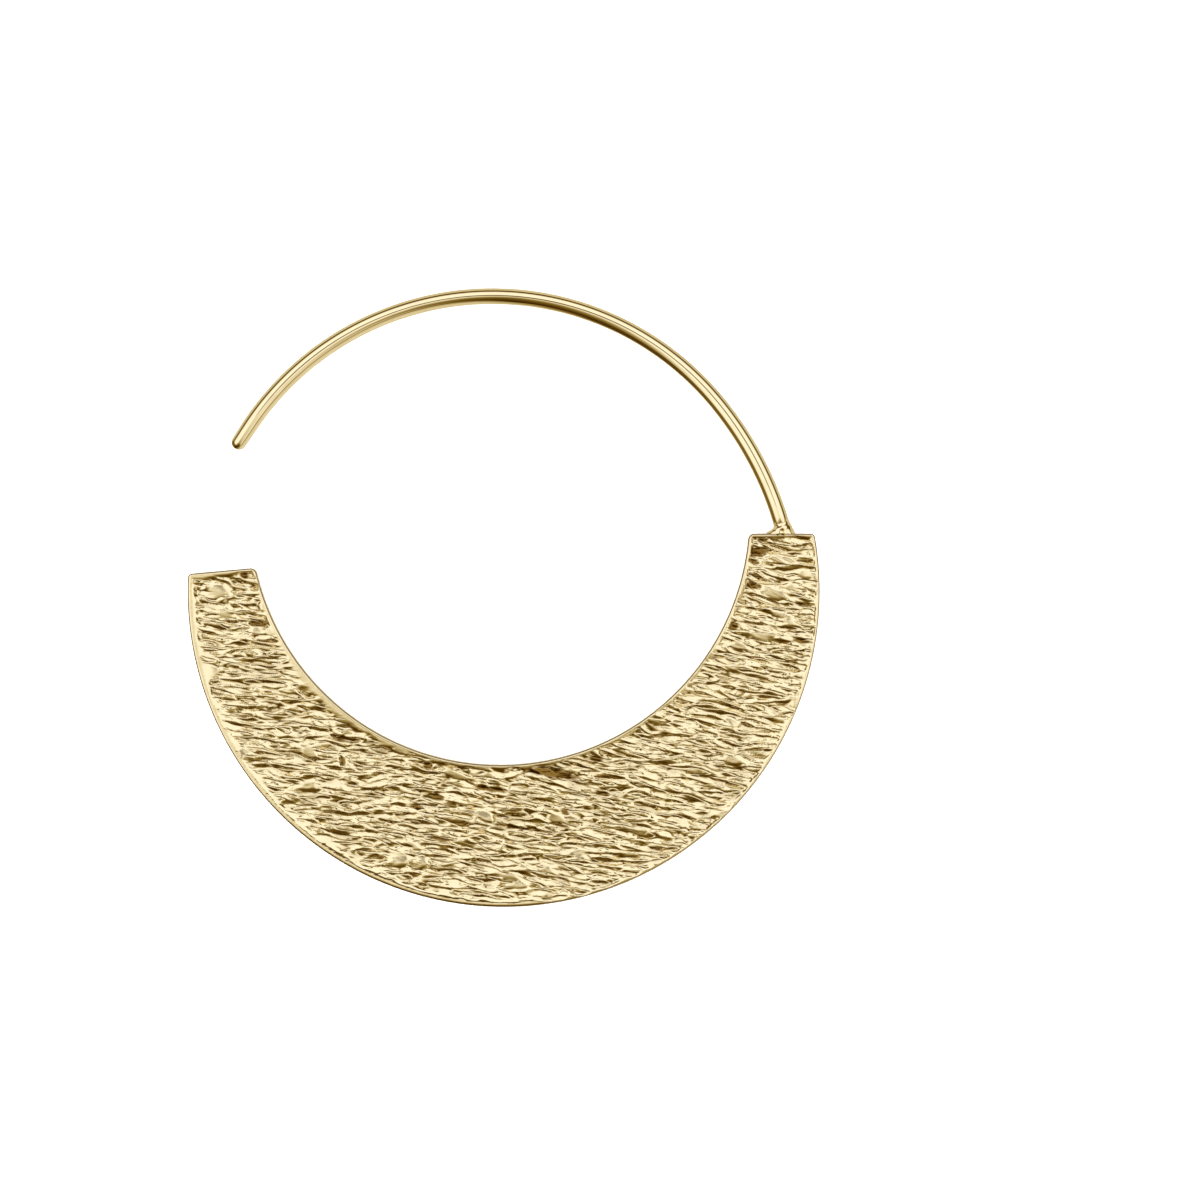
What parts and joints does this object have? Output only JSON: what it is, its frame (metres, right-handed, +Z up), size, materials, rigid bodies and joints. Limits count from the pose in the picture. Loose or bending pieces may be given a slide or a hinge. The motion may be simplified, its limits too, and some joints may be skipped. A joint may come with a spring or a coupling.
{
  "type": "creole hoop earring",
  "caption": "Creole hoop earring: a flat crescent plate with a bark relief and a smooth rim, and an open round ear wire soldered to the end of one arm.",
  "frame": {"origin": "bottom centre of the bounding box, on the surface that the earring lies on", "axes": "+Z up, out of the relief side; +Y from the crescent's belly to the top of the ear wire; +X to the arm that carries the wire"},
  "size_m": [0.0395, 0.0388, 0.0019],
  "materials": {
    "gold": "pale gold plating over cast and drawn metal, polished rim and wire, dark furrows in the relief"
  },
  "bodies": {
    "root": {"hoop": "gold"}
  },
  "joints": []
}
